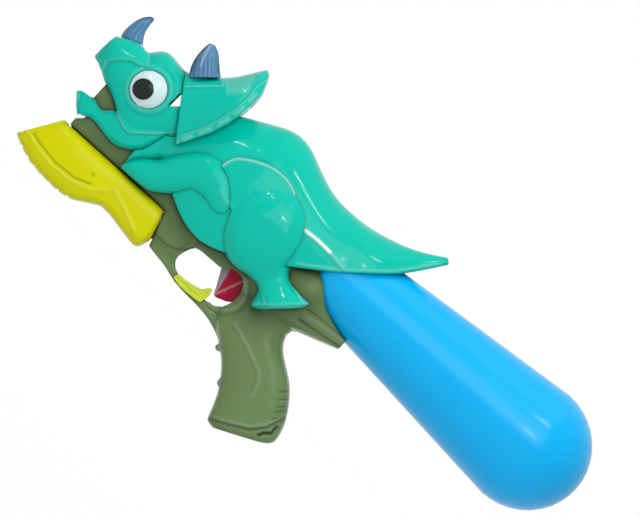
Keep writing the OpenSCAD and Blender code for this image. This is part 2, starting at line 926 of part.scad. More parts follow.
module eye_piece(side) {
    mirrored(side)
        dino_frame()
            intersection() {
                along_y(eye_at, head_half - 6, head_half + 10, eye_radius);
                translate([eye_at[0], eye_top_y - eye_dome, eye_at[1]])
                    sphere(r = eye_dome, $fn = 72);
            }
}

module eye_left() {
    color("#f2f6f4")
        eye_piece(-1);
}

module eye_right() {
    color("#f2f6f4")
        eye_piece(1);
}

module pupil_piece(side) {
    mirrored(side)
        dino_frame()
            difference() {
                intersection() {
                    along_y(pupil_at, head_half, head_half + 10, pupil_radius);
                    translate([eye_at[0], eye_top_y - eye_dome, eye_at[1]])
                        sphere(r = eye_dome + pupil_thickness, $fn = 72);
                }
                translate([eye_at[0], eye_top_y - eye_dome, eye_at[1]])
                    sphere(r = eye_dome + 0.02, $fn = 72);
            }
}

module pupil_left() {
    color("#191f1c")
        pupil_piece(-1);
}

module pupil_right() {
    color("#191f1c")
        pupil_piece(1);
}

// Water way
module nozzle() {
    color("#e07b1a")
        difference() {
            union() {
                along_x(muzzle_x + 0.4, muzzle_x + 5, nozzle_z, nozzle_radius);
                along_x(muzzle_x + 5, muzzle_x + 11, nozzle_z, tube_radius - tube_wall - running_gap);
            }
            along_x(muzzle_x - 2, muzzle_x + 12, nozzle_z, nozzle_bore);
            along_x(muzzle_x, muzzle_x + 2.4, nozzle_z, nozzle_bore + 2);
        }
}

module water_tube() {
    color("#d9d9d2")
        difference() {
            along_x(muzzle_x + 5 + seat_gap, stem_x - valve_radius - 0.3, nozzle_z, tube_radius);
            along_x(muzzle_x, stem_x, nozzle_z, tube_radius - tube_wall);
        }
}

module valve_body() {
    color("#c9ccc8")
        difference() {
            union() {
                translate([stem_x, 0, valve_floor_z])
                    cylinder(h = valve_top_z - valve_floor_z, r = valve_radius);
                along_x(stem_x, socket_wall_x - socket_floor - seat_gap, water_port_z, tube_radius);
                along_x(stem_x - valve_radius - 6, stem_x, nozzle_z, tube_radius - tube_wall - running_gap);
            }
            translate([stem_x, 0, valve_floor_z + valve_wall])
                cylinder(h = valve_top_z, r = valve_radius - valve_wall);
            translate([stem_x, 0, valve_floor_z - 1])
                cylinder(h = 10, r = stem_radius + running_gap);
            along_x(stem_x, socket_wall_x, water_port_z, tube_radius - tube_wall);
            along_x(stem_x - 20, stem_x, nozzle_z, tube_radius - 2 * tube_wall);
        }
}

module valve_cap() {
    color("#c9ccc8")
        translate([stem_x, 0, valve_top_z + running_gap])
            union() {
                cylinder(h = cap_thickness, r = valve_radius);
                translate([0, 0, -cap_plug])
                    cylinder(h = cap_plug + 1, r = valve_radius - valve_wall - running_gap);
            }
}

module valve_stem() {
    color("#b9bdc4")
        translate([stem_x, 0, 0])
            union() {
                translate([0, 0, lever_z + 0.3])
                    cylinder(h = poppet_z - lever_z, r = stem_radius);
                translate([0, 0, poppet_z])
                    cylinder(h = poppet_height, r = poppet_radius);
                translate([0, 0, poppet_z + poppet_height])
                    cylinder(h = 2, r = stem_radius);
            }
}

module stem_seal() {
    color("#2a2a2a")
        translate([stem_x, 0, valve_floor_z + valve_wall + running_gap])
            difference() {
                cylinder(h = poppet_z - valve_floor_z - valve_wall - 2 * running_gap, r = poppet_radius);
                translate([0, 0, -1])
                    cylinder(h = 9, r = stem_radius + running_gap);
            }
}

module valve_spring() {
    z0 = poppet_z + poppet_height + spring_wire + 0.05;
    z1 = valve_top_z - cap_plug - spring_wire;
    r = poppet_radius - spring_wire - 0.6;
    color("#a9adb2")
        skin()
            translate([stem_x, 0, 0])
                sweep([
                    for (k = [0 : 9 * spring_turns])
                        [r * cos(40 * k), r * sin(40 * k), z0 + (z1 - z0) * k / (9 * spring_turns)]
                ], spring_wire, 5);
}

module bottle_socket() {
    port_x = socket_wall_x - socket_floor - 1;
    color("#c9ccc8")
        difference() {
            along_x(socket_wall_x - socket_floor, neck_end_x - 1, tank_axis_z, socket_radius);
            along_x(socket_wall_x, neck_end_x, tank_axis_z, neck_radius + lug_height + free_gap);
            along_x(port_x, socket_wall_x + 1, water_port_z, tube_radius - tube_wall);
            translate([0, air_port[0], 0])
                along_x(port_x, socket_wall_x + 1, air_port[1], hose_radius - tube_wall);
        }
}

module neck_seal() {
    color("#2a2a2a")
        difference() {
            along_x(neck_front_x - seal_thickness - 0.1, neck_front_x - 0.1, tank_axis_z, neck_radius);
            along_x(neck_front_x - 5, neck_front_x + 1, tank_axis_z, neck_radius - 2.4);
        }
}

module tank() {
    color("#00a0eb")
        bottle_axis()
            union() {
                rotate_extrude($fn = 96)
                    polygon(concat(
                        bottle_profile(0),
                        [for (i = [len(bottle_profile(0)) - 1 : -1 : 0]) bottle_profile(tank_wall)[i]]
                    ));
                for (k = [0 : 2])
                    rotate([0, 0, 120 * k])
                        translate([0, 0, neck_front_x + 3])
                            rotate_extrude(angle = 45)
                                translate([neck_radius - 0.4, 0])
                                    square([lug_height + 0.4, lug_width]);
            }
}

function pickup_knots(past) = [
    [socket_wall_x + 0.1 - past, 0, water_port_z], [20, 0, water_port_z], [60, 0, water_port_z],
    [95, 0, water_port_z - 1], [125, 0, water_port_z - 7], [150 + past, 0, water_port_z - 17 - past / 2]
];

module pickup_tube() {
    color("#d9d9d2")
        skin()
            difference() {
                sweep(curve(pickup_knots(0), 2), tube_radius - 0.2);
                sweep(curve(pickup_knots(0.5), 2), tube_radius - 0.2 - tube_wall);
            }
}

// Trigger
module trigger() {
    color("#a50f32")
        difference() {
            slab(loop(trigger_knots, 2), -trigger_half, trigger_half);
            along_y([pin[0], pin[2]], -20, 20, pin_radius + running_gap);
        }
}

module trigger_pin() {
    color("#b9bdc4")
        along_y([pin[0], pin[2]], -pin_length / 2, pin_length / 2, pin_radius);
}

// Pump
module pump_form(grow = 0) {
    ribbed(pump_ribs, pump_half, 4, 2, 9, grow);
}

module pump_half_shell(side) {
    skin()
        mirrored(side)
            difference() {
                union() {
                    difference() {
                        pump_form();
                        ribbed(some(pump_ribs, 1, 7), pump_half, 4, 1, 7, -gun_wall, 1);
                    }
                    intersection() {
                        pump_form();
                        pump_webs();
                    }
                }
                pump_seats(side);
                gun_form(free_gap);
                for (i = [0 : 6])
                    translate([groove_x(i), -1, groove_z(i)])
                        rotate([-90, 0, 0])
                            cylinder(h = 40, r = groove_radius, $fn = 10);
            }
}

module pump_seats(side) {
    bore = hole(cylinder_radius + free_gap);
    room_x = cylinder_front_x - 3;
    along_x(room_x, -90, pump_axis_z, bore);
    slab([[room_x, pump_axis_z], [-90, pump_axis_z], [-90, 95], [room_x, 95]], -1, bore);
    flange_end = flange_x + flange_width;
    along_x(flange_x - seat_gap, flange_end + seat_gap, pump_axis_z, hole(2 * rod_radius + seat_gap));
    along_x(flange_x, flange_x + 20, pump_axis_z, hole(rod_radius + seat_gap));
    for (p = pump_screws_at)
        screw_room(p, side);
}

// Inner webs of the fore-end: the rod's seat and two guides on the cylinder
module pump_webs() {
    for (x = [web_x, -160, -117])
        slab([[x, 66], [x + web_width, 66], [x + web_width, 87.4], [x, 87.4]], 0, 22);
    for (p = pump_screws_at)
        along_y(p, 0, 22, post_radius - 0.5);
}

module pump_grip_left() {
    color("#d2d400")
        pump_half_shell(-1);
}

module pump_grip_right() {
    color("#d2d400")
        pump_half_shell(1);
}

module pump_cylinder() {
    color("#dfe2dd")
        difference() {
            union() {
                along_x(cylinder_front_x, cylinder_rear_x, pump_axis_z, cylinder_radius);
                translate([outlet_x, 0, pump_axis_z])
                    cylinder(h = outlet_height, r = outlet_radius);
            }
            along_x(cylinder_front_x - 1, cylinder_rear_x - 3, pump_axis_z, cylinder_bore);
            translate([outlet_x, 0, pump_axis_z])
                cylinder(h = 20, r = outlet_bore);
        }
}

module cylinder_gland() {
    color("#2f3331")
        difference() {
            along_x(cylinder_front_x, gland_end_x, pump_axis_z, cylinder_bore - running_gap);
            along_x(cylinder_front_x - 1, cylinder_front_x + 20, pump_axis_z, rod_radius + running_gap);
        }
}

module piston_rod() {
    color("#b9bdc4")
        union() {
            along_x(flange_x, piston_x + 2.5, pump_axis_z, rod_radius);
            along_x(flange_x, flange_x + flange_width, pump_axis_z, 2 * rod_radius);
        }
}

module piston() {
    color("#2f3331")
        difference() {
            along_x(piston_x - piston_length, piston_x + 2, pump_axis_z, cylinder_bore - 0.2);
            along_x(piston_x - 20, piston_x + 20, pump_axis_z, rod_radius + running_gap);
            difference() {
                along_x(piston_x - 5, piston_x - 2, pump_axis_z, cylinder_bore + 1);
                along_x(piston_x - 6, piston_x - 1, pump_axis_z, cylinder_bore - 2.4);
            }
        }
}

module piston_ring() {
    color("#7a1f1f")
        translate([piston_x - 3.5, 0, pump_axis_z])
            rotate([0, 90, 0])
                rotate_extrude($fn = 48)
                    translate([cylinder_bore - running_gap - 1.15, 0])
                        circle(r = 1.15, $fn = 20);
}

module check_valve() {
    color("#c9ccc8")
        translate([outlet_x, 0, pump_axis_z + outlet_height + running_gap])
            difference() {
                cylinder(h = check_height, r = check_radius);
                translate([0, 0, -1])
                    cylinder(h = 9, r = 1.4);
            }
}

// Screws
module screw(at) {
    along_y(at, screw_tip_y, screw_seat_y + 0.5, screw_radius);
    along_y(at, screw_seat_y + 0.05, screw_seat_y + head_height, screw_head);
}

module gun_body_screws() {
    color("#8d9196")
        for (p = gun_screws)
            screw(p);
}

module dino_screws() {
    color("#8d9196")
        dino_frame()
            for (p = dino_screws_at)
                screw(p);
}

module pump_screws() {
    color("#8d9196")
        for (p = pump_screws_at)
            screw(p);
}

gun_shell_left();
gun_shell_right();
guard_clip();
gun_body_screws();
dino_body_left();
dino_body_right();
dino_head_left();
dino_head_right();
dino_frill_left();
dino_frill_right();
dino_arm_left();
dino_arm_right();
dino_leg_left();
dino_leg_right();
nose_horn();
brow_horn_left();
brow_horn_right();
eye_left();
eye_right();
pupil_left();
pupil_right();
dino_screws();
nozzle();
water_tube();
valve_body();
valve_cap();
valve_stem();
stem_seal();
valve_spring();
trigger();
trigger_pin();
bottle_socket();
neck_seal();
tank();
pickup_tube();
pump_cylinder();
cylinder_gland();
check_valve();
air_hose();
pump_grip_left();
pump_grip_right();
piston_rod();
piston();
piston_ring();
pump_screws();
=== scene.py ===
import json
import math

import bmesh
import bpy
import numpy as np
from mathutils import Matrix, Vector
from mathutils.kdtree import KDTree

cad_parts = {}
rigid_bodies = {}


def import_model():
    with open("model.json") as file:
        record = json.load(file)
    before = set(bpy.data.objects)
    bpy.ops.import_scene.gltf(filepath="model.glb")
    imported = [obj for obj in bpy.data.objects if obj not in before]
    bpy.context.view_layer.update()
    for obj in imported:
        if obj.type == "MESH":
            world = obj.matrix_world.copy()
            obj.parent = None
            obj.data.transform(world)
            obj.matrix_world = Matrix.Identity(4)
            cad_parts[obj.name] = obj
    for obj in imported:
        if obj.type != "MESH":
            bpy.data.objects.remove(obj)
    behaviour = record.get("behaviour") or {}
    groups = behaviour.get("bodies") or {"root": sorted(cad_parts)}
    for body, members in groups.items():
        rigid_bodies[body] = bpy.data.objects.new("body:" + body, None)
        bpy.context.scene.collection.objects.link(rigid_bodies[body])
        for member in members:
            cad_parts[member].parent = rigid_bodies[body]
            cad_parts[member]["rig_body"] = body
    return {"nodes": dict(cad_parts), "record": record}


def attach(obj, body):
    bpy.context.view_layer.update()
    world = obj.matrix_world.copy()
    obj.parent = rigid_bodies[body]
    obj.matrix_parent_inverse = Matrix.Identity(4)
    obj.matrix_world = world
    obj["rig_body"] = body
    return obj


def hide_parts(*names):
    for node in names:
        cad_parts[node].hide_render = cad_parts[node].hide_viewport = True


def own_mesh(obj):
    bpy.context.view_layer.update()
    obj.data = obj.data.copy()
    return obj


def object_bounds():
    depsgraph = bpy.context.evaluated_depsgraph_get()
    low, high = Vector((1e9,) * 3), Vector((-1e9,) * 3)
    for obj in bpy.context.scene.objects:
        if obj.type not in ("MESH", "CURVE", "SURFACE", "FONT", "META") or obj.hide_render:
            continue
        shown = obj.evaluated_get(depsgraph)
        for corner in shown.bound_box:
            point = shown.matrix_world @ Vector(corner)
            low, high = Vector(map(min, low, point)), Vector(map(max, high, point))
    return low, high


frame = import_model()
cad_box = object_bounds()
nodes = frame["nodes"]
scene = bpy.context.scene
MM = 0.001

# Places: the beast leans on the gun, so its own upright directions are turned about the hip
HIP = (-53.0, 124.7)
LEAN = math.radians(42)


def on_beast(points):
    """Places given in the beast's own upright directions, as gun X and Z in mm."""
    c, s = math.cos(LEAN), math.sin(LEAN)
    return [(HIP[0] + c * x - s * z, HIP[1] + s * x + c * z) for x, z in points]


def ring(centre, radius, turns=(0, 360), steps=40):
    """Points of a drawn circle or arc."""
    a, b = (math.radians(t) for t in turns)
    return [(centre[0] + radius * math.cos(a + (b - a) * k / steps),
             centre[1] + radius * math.sin(a + (b - a) * k / steps)) for k in range(steps + 1)]


def curved(points, steps=5):
    """A drawn line bent smoothly through its points."""
    ends = [points[0]] + points + [points[-1]]
    line = [points[0]]
    for p, q, r, s in zip(ends, ends[1:], ends[2:], ends[3:]):
        for t in (k / steps for k in range(1, steps + 1)):
            line.append(tuple(
                0.5 * (2 * b + (c - a) * t + (2 * a - 5 * b + 4 * c - d) * t * t
                       + (3 * b - a - 3 * c + d) * t ** 3) for a, b, c, d in zip(p, q, r, s)))
    return line


# Finishes
# Spots per metre of the broad flow marks, the mould grain and the finest grain
FLOW_SCALE = 38.0
GRAIN_SCALE = 520.0
FINE_SCALE = 2200.0
FINE_SHARE = 0.35
GRAIN_DEPTH = 0.4 * MM
ROUGHNESS_SWING = 0.22
GROOVE_DUST = 0.2
# Near-white that raised lines are blended towards as a painted highlight
PAINTED_HIGHLIGHT_COLOUR = (0.9, 0.95, 0.9, 1)


def add_node(tree, kind, at=(0, 0), **settings):
    node = tree.nodes.new(kind)
    node.location = at
    for key, value in settings.items():
        if key in node.inputs:
            node.inputs[key].default_value = value
        else:
            setattr(node, key, value)
    return node


def maths(tree, operation, at, *values):
    """The result of a sum on linked sockets and plain numbers."""
    node = add_node(tree, "ShaderNodeMath", at, operation=operation)
    for socket, value in zip(node.inputs, values):
        if isinstance(value, float):
            socket.default_value = value
        else:
            tree.links.new(value, socket)
    return node.outputs[0]


def new_group(name, inputs, outputs):
    group = bpy.data.node_groups.new(name, "ShaderNodeTree")
    for label, kind, value in inputs:
        socket = group.interface.new_socket(label, in_out="INPUT", socket_type="NodeSocket" + kind)
        socket.default_value = value
    for label, kind in outputs:
        group.interface.new_socket(label, in_out="OUTPUT", socket_type="NodeSocket" + kind)
    return group, add_node(group, "NodeGroupInput", (-900, 0)), add_node(group, "NodeGroupOutput", (700, 0))


def moulded_skin_group():
    """Moulded plastic: faint flow marks, fine mould grain, painted shade in grooves and seams, painted
    highlights on raised edges.
    """
    group, given, out = new_group(
        "moulded_skin",
        [("Colour", "Color", (0.5, 0.5, 0.5, 1)), ("Roughness", "Float", 0.3),
         ("Flow", "Float", 0.06), ("Groove Dark", "Float", 0.35), ("Edge Light", "Float", 0.25)],
        [("Colour", "Color"), ("Roughness", "Float"), ("Height", "Float")])
    link = group.links.new
    place = add_node(group, "ShaderNodeTexCoord", (-900, -300))
    broad = add_node(group, "ShaderNodeTexNoise", (-700, -100), Scale=FLOW_SCALE, Detail=3.0, Roughness=0.55)
    grain = add_node(group, "ShaderNodeTexNoise", (-700, -300), Scale=GRAIN_SCALE, Detail=2.0, Roughness=0.5)
    fine = add_node(group, "ShaderNodeTexNoise", (-700, -500), Scale=FINE_SCALE, Detail=1.0)
    for noise in (broad, grain, fine):
        link(place.outputs["Object"], noise.inputs["Vector"])
    groove = add_node(group, "ShaderNodeAttribute", (-700, 300), attribute_name="groove").outputs["Fac"]
    edge = add_node(group, "ShaderNodeAttribute", (-700, 150), attribute_name="edge").outputs["Fac"]

    swing = maths(group, "SUBTRACT", (-500, -100), broad.outputs["Fac"], 0.5)
    flow = maths(group, "MULTIPLY_ADD", (-300, -100), swing, given.outputs["Flow"], 1.0)
    # Painted shade: the groove attribute darkens the colour in cuts, at plate feet, along seams and under
    # the beast
    painted_shade = maths(group, "MULTIPLY", (-500, 300), groove, given.outputs["Groove Dark"])
    # Painted highlight: the edge attribute blends the colour towards near-white along raised lines
    painted_light = maths(group, "MULTIPLY", (-500, 150), edge, given.outputs["Edge Light"])
    shade = maths(group, "SUBTRACT", (-100, 100), flow, painted_shade)
    tone = add_node(group, "ShaderNodeHueSaturation", (100, 200))
    link(given.outputs["Colour"], tone.inputs["Color"])
    link(shade, tone.inputs["Value"])
    highlight_mix = add_node(group, "ShaderNodeMix", (350, 200), data_type="RGBA", blend_type="MIX")
    share, plain, highlight_colour_in = highlight_mix.inputs[0], highlight_mix.inputs[6], highlight_mix.inputs[7]
    link(painted_light, share)
    link(tone.outputs["Color"], plain)
    highlight_colour_in.default_value = PAINTED_HIGHLIGHT_COLOUR
    link(highlight_mix.outputs[2], out.inputs["Colour"])

    rough = maths(group, "MULTIPLY_ADD", (100, -100), swing, ROUGHNESS_SWING, given.outputs["Roughness"])
    dusty = maths(group, "MULTIPLY_ADD", (300, -100), groove, GROOVE_DUST, rough)
    link(dusty, out.inputs["Roughness"])
    height = maths(group, "MULTIPLY_ADD", (100, -350), fine.outputs["Fac"], FINE_SHARE, grain.outputs["Fac"])
    link(height, out.inputs["Height"])
    return group


MOULDED_SKIN = moulded_skin_group()


# groove sets how dark the painted shade gets, edge how strong the painted highlight is
def plastic(name, colour, roughness=0.3, flow=0.06, groove=0.35, edge=0.2, grain=0.12, **shader):
    """A moulded plastic, or rubber or metal when the shader values say so."""
    material = bpy.data.materials.new(name)
    material.use_nodes = True
    tree = material.node_tree
    bsdf = tree.nodes["Principled BSDF"]
    for socket, value in shader.items():
        bsdf.inputs[socket.replace("_", " ")].default_value = value
    skin = add_node(tree, "ShaderNodeGroup", (-500, 200), node_tree=MOULDED_SKIN)
    skin.inputs["Colour"].default_value = (*colour, 1)
    skin.inputs["Roughness"].default_value = roughness
    skin.inputs["Flow"].default_value = flow
    skin.inputs["Groove Dark"].default_value = groove
    skin.inputs["Edge Light"].default_value = edge
    bump = add_node(tree, "ShaderNodeBump", (-250, -200), Strength=grain, Distance=GRAIN_DEPTH)
    tree.links.new(skin.outputs["Colour"], bsdf.inputs["Base Color"])
    tree.links.new(skin.outputs["Roughness"], bsdf.inputs["Roughness"])
    tree.links.new(skin.outputs["Height"], bump.inputs["Height"])
    tree.links.new(bump.outputs["Normal"], bsdf.inputs["Normal"])
    material.diffuse_color = (*colour, 1)
    return material


FINISH_VALUES = {
    "olive_plastic": dict(colour=(0.132, 0.213, 0.079), roughness=0.2, grain=0.08, Specular_IOR_Level=0.2),
    "lime_plastic": dict(colour=(0.58, 0.66, 0.035), roughness=0.3, Specular_IOR_Level=0.12),
    "teal_plastic": dict(colour=(0.0, 0.455, 0.346), roughness=0.1, grain=0.04, Specular_IOR_Level=0.12),
    "horn_plastic": dict(colour=(0.075, 0.2, 0.36), roughness=0.22, Specular_IOR_Level=0.2),
    "eye_white": dict(colour=(0.54, 0.68, 0.71), roughness=0.15, grain=0.03, Specular_IOR_Level=0.3),
    "eye_black": dict(colour=(0.01, 0.014, 0.012), roughness=0.2, grain=0.03, Specular_IOR_Level=0.2),
    "yellow_plastic": dict(colour=(0.58, 0.572, 0.0), roughness=0.2, grain=0.06, Specular_IOR_Level=0.1),
    "red_plastic": dict(colour=(0.37, 0.003, 0.03), roughness=0.22, Specular_IOR_Level=0.12),
    "blue_plastic": dict(colour=(0.0, 0.388, 0.78), roughness=0.22, grain=0.04, Specular_IOR_Level=0.17),
    "steel": dict(colour=(0.55, 0.56, 0.57), roughness=0.28, Metallic=1.0),
    "soft_tube": dict(colour=(0.62, 0.64, 0.62), roughness=0.4),
    "grey_plastic": dict(colour=(0.2, 0.21, 0.21), roughness=0.38),
    "white_plastic": dict(colour=(0.72, 0.73, 0.72), roughness=0.34),
    "dark_plastic": dict(colour=(0.035, 0.04, 0.037), roughness=0.4),
    "seal_rubber": dict(colour=(0.02, 0.02, 0.02), roughness=0.6),
}
FINISH = {name: plastic(name, **values) for name, values in FINISH_VALUES.items()}

# Pieces
NODE_SLOT = {entry["node"]: entry["material_slot"] for entry in frame["record"]["subparts"]}
WELD = 0.002 * MM
SLIVER = 0.001 * MM
# Triangles that meet flatter than this, and make a face about this square, become one face
FLAT_JOIN = math.radians(14)
SQUARE_JOIN = math.radians(70)
CURVE_LEVELS = 2
SOFTENING = 0.5


def joined_form(node):
    """A copy of a CAD node's mesh with its loose triangles joined up into one skin."""
    form = bmesh.new()
    form.from_mesh(nodes[node].data)
    bmesh.ops.remove_doubles(form, verts=form.verts, dist=WELD)
    bmesh.ops.dissolve_degenerate(form, edges=form.edges, dist=SLIVER)
    return form


def new_piece(name, form, node):
    """A piece that stands for a CAD node, with the node's finish."""
    mesh = bpy.data.meshes.new(name)
    form.to_mesh(mesh)
    form.free()
    if "custom_normal" in mesh.attributes:
        mesh.attributes.remove(mesh.attributes["custom_normal"])
    piece = bpy.data.objects.new(name, mesh)
    scene.collection.objects.link(piece)
    slot = NODE_SLOT[node]
    mesh.materials.clear()
    mesh.materials.append(FINISH[slot])
    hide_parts(node)
    return piece


def bake(piece):
    """The piece with its modifiers worked into its mesh."""
    graph = bpy.context.evaluated_depsgraph_get()
    done = bpy.data.meshes.new_from_object(piece.evaluated_get(graph))
    piece.modifiers.clear()
    piece.data = done
    done.shade_smooth()
    return piece


def moulded(node, voxel, rounds, sharp):
    """A CAD shell as it leaves the mould: faceted curves made smooth, every edge softly rounded."""
    form = joined_form(node)
    bmesh.ops.join_triangles(
        form, faces=form.faces, angle_face_threshold=FLAT_JOIN, angle_shape_threshold=SQUARE_JOIN)
    crease = form.edges.layers.float.new("crease_edge")
    for edge in form.edges:
        if edge.calc_face_angle(0) > math.radians(sharp):
            edge[crease] = 1.0
    piece = new_piece(node + "_moulded", form, node)
    curve = piece.modifiers.new("curved", "SUBSURF")
    curve.levels = curve.render_levels = CURVE_LEVELS
    skin = piece.modifiers.new("skin", "REMESH")
    skin.mode = "VOXEL"
    skin.voxel_size = voxel * MM * 1
    soft = piece.modifiers.new("soft", "SMOOTH")
    soft.factor = SOFTENING
    soft.iterations = rounds
    return bake(piece)


def paint_shade_ahead(piece, at, ahead, finish):
    """A second finish on the part of a piece that lies ahead of a plane, used here as painted shade."""
    mesh = piece.data
    form = bmesh.new()
    form.from_mesh(mesh)
    whole = form.verts[:] + form.edges[:] + form.faces[:]
    bmesh.ops.bisect_plane(form, geom=whole, plane_co=at, plane_no=ahead)
    form.to_mesh(mesh)
    form.free()
    mesh.materials.append(FINISH[finish])
    for face in mesh.polygons:
        face.material_index = int((face.center - at).dot(ahead) > 0)


def turned(node, angle=35.0):
    """A turned or exact CAD piece, shaded smooth across its facets."""
    piece = new_piece(node + "_turned", joined_form(node), node)
    piece.data.shade_smooth()
    piece.data.set_sharp_from_angle(angle=math.radians(angle))
    return piece


# Worked surfaces
# How far a skin has to face sideways before it starts to count as the outer side, and to count in full
SIDE_TILT = (0.12, 0.45)


def step_up(low, high, value):
    """A soft step from 0 at low to 1 at high."""
    t = np.clip((value - low) / (high - low), 0, 1)
    return t * t * (3 - 2 * t)


def reach(points, x, z):
    """How far each place is from a drawn line, seen from the side, in mm."""
    far = np.full(len(x), np.inf)
    for (ax, az), (bx, bz) in zip(points[:-1], points[1:]):
        dx, dz = bx - ax, bz - az
        t = np.clip(((x - ax) * dx + (z - az) * dz) / (dx * dx + dz * dz + 1e-9), 0, 1)
        far = np.minimum(far, np.hypot(x - ax - t * dx, z - az - t * dz))
    return far


def within(outline, x, z):
    """True inside a drawn outline, seen from the side."""
    inside = np.zeros(len(x), bool)
    for (ax, az), (bx, bz) in zip(outline, outline[1:] + outline[:1]):
        crosses = (az > z) != (bz > z)
        inside ^= crosses & (x < (bx - ax) * (z - az) / (bz - az + 1e-12) + ax)
    return inside


def skin_places(piece):
    """Where a piece's skin is, and which way it faces there."""
    place, away = (np.empty(len(piece.data.vertices) * 3, np.float32) for _ in range(2))
    piece.data.vertices.foreach_get("co", place)
    piece.data.vertex_normals.foreach_get("vector", away)
    return place.reshape(-1, 3), away.reshape(-1, 3)


class Worked:
    """The outer side of a moulded piece, with lines cut or raised and plates lifted on it, in mm, and
    painted shade and painted highlights along them.
    """

    def __init__(self, piece):
        self.piece = piece
        self.co, self.no = skin_places(piece)
        self.x, self.z = self.co[:, 0] / MM, self.co[:, 2] / MM
        across = self.co[:, 1]
        on_the_middle = abs(across.mean()) < MM
        side = np.sign(across) if on_the_middle else np.sign(across.mean())
        self.outer = step_up(*SIDE_TILT, self.no[:, 1] * side)
        # push moves the skin; groove holds painted shade, edge holds painted highlight
        self.push, self.groove, self.edge = (np.zeros(len(self.co)) for _ in range(3))

    def line(self, points, width):
        """1 along a drawn line, fading to 0 beside it."""
        return np.exp(-((reach(points, self.x, self.z) / width) ** 2))

    def inset(self, outline):
        """How far each place is inside a drawn outline, less than 0 outside it."""
        gap = reach(outline + outline[:1], self.x, self.z)
        return np.where(within(outline, self.x, self.z), gap, -gap)

    # A cut line, with painted shade in it
    def cut(self, points, width, depth, painted_shade=1.0):
        mark = self.line(points, width) * self.outer
        self.push -= depth * mark
        self.groove = np.maximum(self.groove, mark * painted_shade)

    # A raised line, with a painted highlight along it
    def ridge(self, points, width, height, painted_light=0.4):
        mark = self.line(points, width) * self.outer
        self.push += height * mark
        self.edge = np.maximum(self.edge, mark * painted_light)

    # A lifted or sunk plate, with painted shade at its foot and a painted highlight along its top edge
    def plate(self, outline, height, soft, painted_shade=0.5, painted_light=0.25):
        inset = self.inset(outline)
        self.push += height * step_up(-soft, soft, inset) * self.outer
        foot = -soft if height > 0 else soft
        self.groove = np.maximum(self.groove, painted_shade * np.exp(-(((inset - foot) / soft) ** 2)) * self.outer)
        self.edge = np.maximum(self.edge, painted_light * np.exp(-(((inset + foot) / soft) ** 2)) * self.outer)

    # A painted reflection: the colour blended towards near-white over an outline
    def painted_reflection(self, outline, amount, soft=1.0):
        self.edge = np.maximum(self.edge, amount * step_up(-soft, soft, self.inset(outline)) * self.outer)

    # A painted shade line: the colour darkened along a line, without a cut
    def painted_shade_line(self, points, width, painted_shade):
        self.groove = np.maximum(self.groove, self.line(points, width) * painted_shade)

    def done(self):
        mesh = self.piece.data
        moved = self.co + self.no * (self.push * MM)[:, None]
        mesh.vertices.foreach_set("co", moved.astype(np.float32).ravel())
        for name, values in (("groove", self.groove), ("edge", self.edge)):
            layer = mesh.attributes.new(name, "FLOAT", "POINT")
            layer.data.foreach_set("value", values.astype(np.float32))
        mesh.update()


def dressed(piece, near, rounds):
    """The chosen places of a skin, such as a thin edge, dressed smooth."""
    form = bmesh.new()
    form.from_mesh(piece.data)
    edge = [vert for vert, chosen in zip(form.verts, near) if chosen]
    for _ in range(rounds):
        bmesh.ops.smooth_vert(
            form, verts=edge, factor=SOFTENING, use_axis_x=True, use_axis_y=True, use_axis_z=True)
    form.to_mesh(piece.data)
    form.free()


# Beast
EYE = (-78.7, 93.8)
HIP_ARC = curved([(-32, 38.6), (-26, 43.8), (-19, 46.6), (-8.9, 45.2), (1.2, 42), (9.9, 36.9),
                  (16.3, 30.1), (20, 22.6)])


def work_head(piece):
    head = Worked(piece)
    # Plates and lines here also paint shade at their feet and in the cut, and highlights along their raised
    # edges
    snout_plate = [(-114.8, 116.8), (-111.6, 107.6), (-108.7, 107.1), (-106.5, 112.5), (-98.1, 113.9),
                   (-90.8, 113.1), (-83.6, 109.2), (-79.2, 108.2), (-77.9, 115.2), (-80.3, 120.9),
                   (-84, 128), (-102, 136), (-119, 124)]
    head.plate(on_beast(snout_plate), height=1.7, soft=0.7)
    jaw = [(-125, 96), (-112, 84), (-101.3, 80.4), (-97, 69.1), (-93.2, 64.4), (-74.6, 63.2), (-60, 63.9),
           (-50, 62), (-56, 48), (-100, 48), (-130, 70)]
    head.plate(on_beast(jaw), height=-1.1, soft=0.7, painted_shade=0.5, painted_light=0.3)
    head.ridge(on_beast(ring(EYE, 14.9)), width=1.5, height=1.0, painted_light=0.2)
    head.cut(on_beast(ring(EYE, 18.2, (-150, 60))), width=1.0, depth=0.35, painted_shade=0.5)
    head.done()


